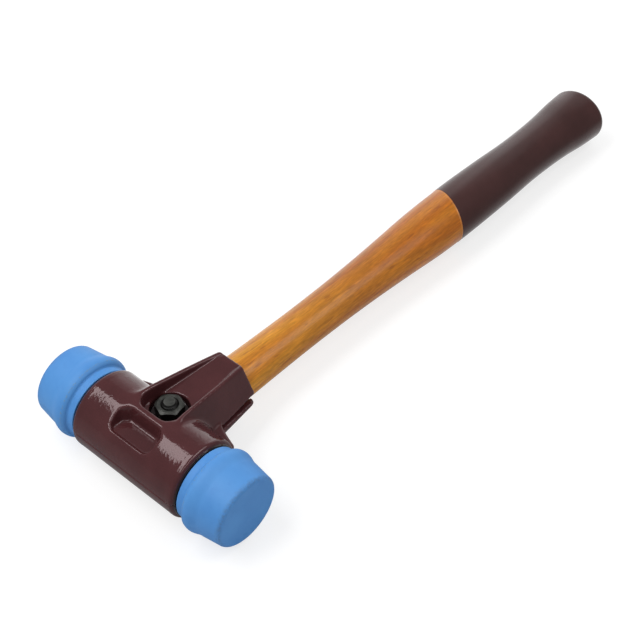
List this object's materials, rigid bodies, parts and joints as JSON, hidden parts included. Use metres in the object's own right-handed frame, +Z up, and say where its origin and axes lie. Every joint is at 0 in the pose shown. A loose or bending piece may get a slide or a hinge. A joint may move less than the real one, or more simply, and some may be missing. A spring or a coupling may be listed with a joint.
{
  "type": "soft face hammer",
  "caption": "Soft face hammer: split cast housing clamped by one bolt over two round plastic faces and a shaped wooden handle.",
  "frame": {"origin": "centre of the bounding box in X and Y, on the floor that both faces and the butt touch", "axes": "+X along the strike axis, +Y from the head to the butt, +Z up, on the side with the nut"},
  "size_m": [0.0956, 0.2975, 0.034],
  "materials": {
    "housing_paint": "gloss dark red paint",
    "insert_plastic": "matte blue elastomer",
    "bolt_black": "black oxide",
    "handle_wood": "clear lacquer, grip dipped in dark paint"
  },
  "bodies": {
    "grip": {"lower_housing": "housing_paint", "handle": "handle_wood", "clamp_bolt": "bolt_black"},
    "cover": {"upper_housing": "housing_paint"},
    "nut": {"clamp_nut": "bolt_black"},
    "left_face": {"left_insert": "insert_plastic"},
    "right_face": {"right_insert": "insert_plastic"}
  },
  "joints": [
    {"name": "clamp_open", "type": "slide", "parent": "grip", "child": "cover", "axis": [0, 0.0176, 0.9998], "range_m": [0, 0.003]},
    {"name": "nut_turn", "type": "hinge", "parent": "cover", "child": "nut", "pos_m": [0, -0.12223, 0.02553], "axis": [0, 0.0176, 0.9998], "range_deg": [0, 1080]},
    {"name": "left_face_pull", "type": "slide", "parent": "grip", "child": "left_face", "axis": [-1, 0, 0], "range_m": [0, 0.02]},
    {"name": "right_face_pull", "type": "slide", "parent": "grip", "child": "right_face", "axis": [1, 0, 0], "range_m": [0, 0.02]}
  ],
  "couplings": [
    {"joint": "nut_turn", "follows": "clamp_open", "rad_per_m": 6283.2}
  ]
}
